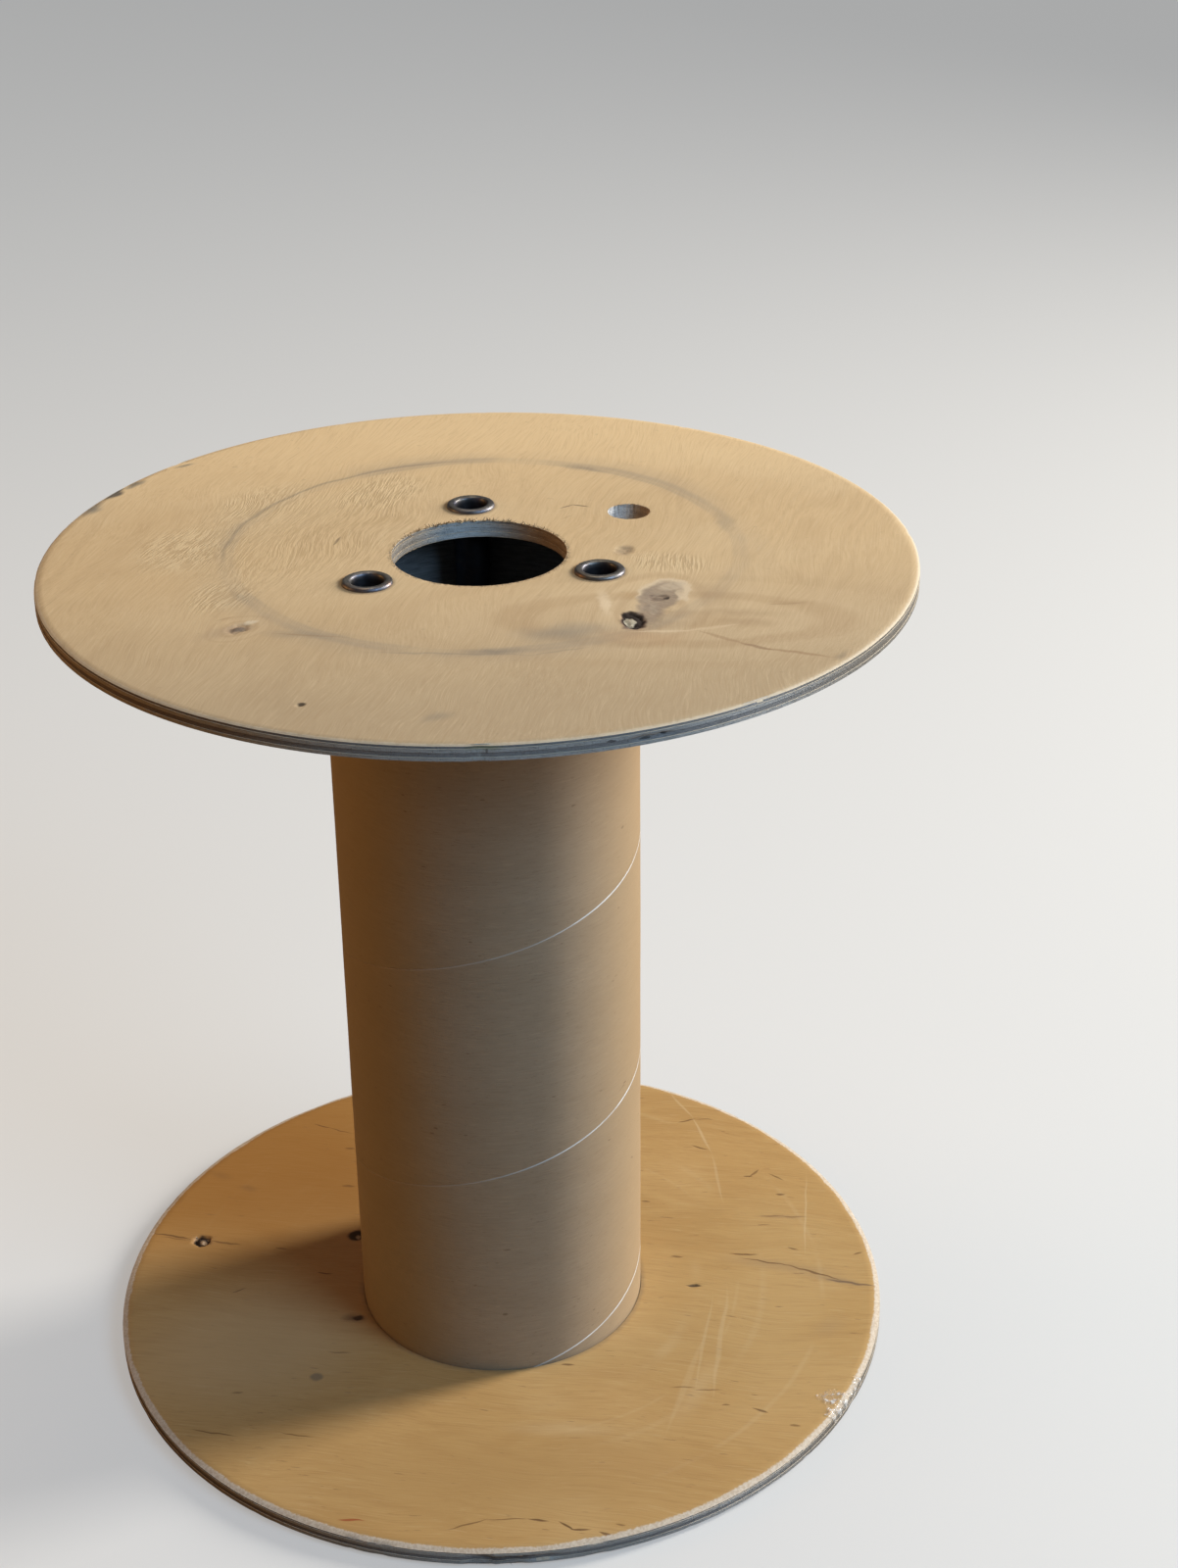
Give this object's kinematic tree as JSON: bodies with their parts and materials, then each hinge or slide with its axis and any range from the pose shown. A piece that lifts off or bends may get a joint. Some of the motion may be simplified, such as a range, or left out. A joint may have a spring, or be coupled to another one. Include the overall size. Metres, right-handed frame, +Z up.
{
  "type": "wooden cable drum",
  "caption": "Small cable drum with plywood flanges, a spiral-wound board core and hollow steel tie tubes, standing on end.",
  "frame": {"origin": "on the floor, under the middle of the drum, level with the crests of the lower rolled tie tube ends", "axes": "+Z up along the drum's axis, +Y from the axis towards the first tie tube"},
  "size_m": [0.3999, 0.4, 0.4261],
  "materials": {
    "plywood": "bare rotary-cut plywood, weathered edges",
    "core_board": "uncoated brown kraft board",
    "tie_steel": "bare drawn steel, darkened by handling"
  },
  "bodies": {
    "root": {"lower_flange": "plywood", "upper_flange": "plywood", "core_tube": "core_board", "tie_tube_1": "tie_steel", "tie_tube_2": "tie_steel", "tie_tube_3": "tie_steel"}
  },
  "joints": []
}
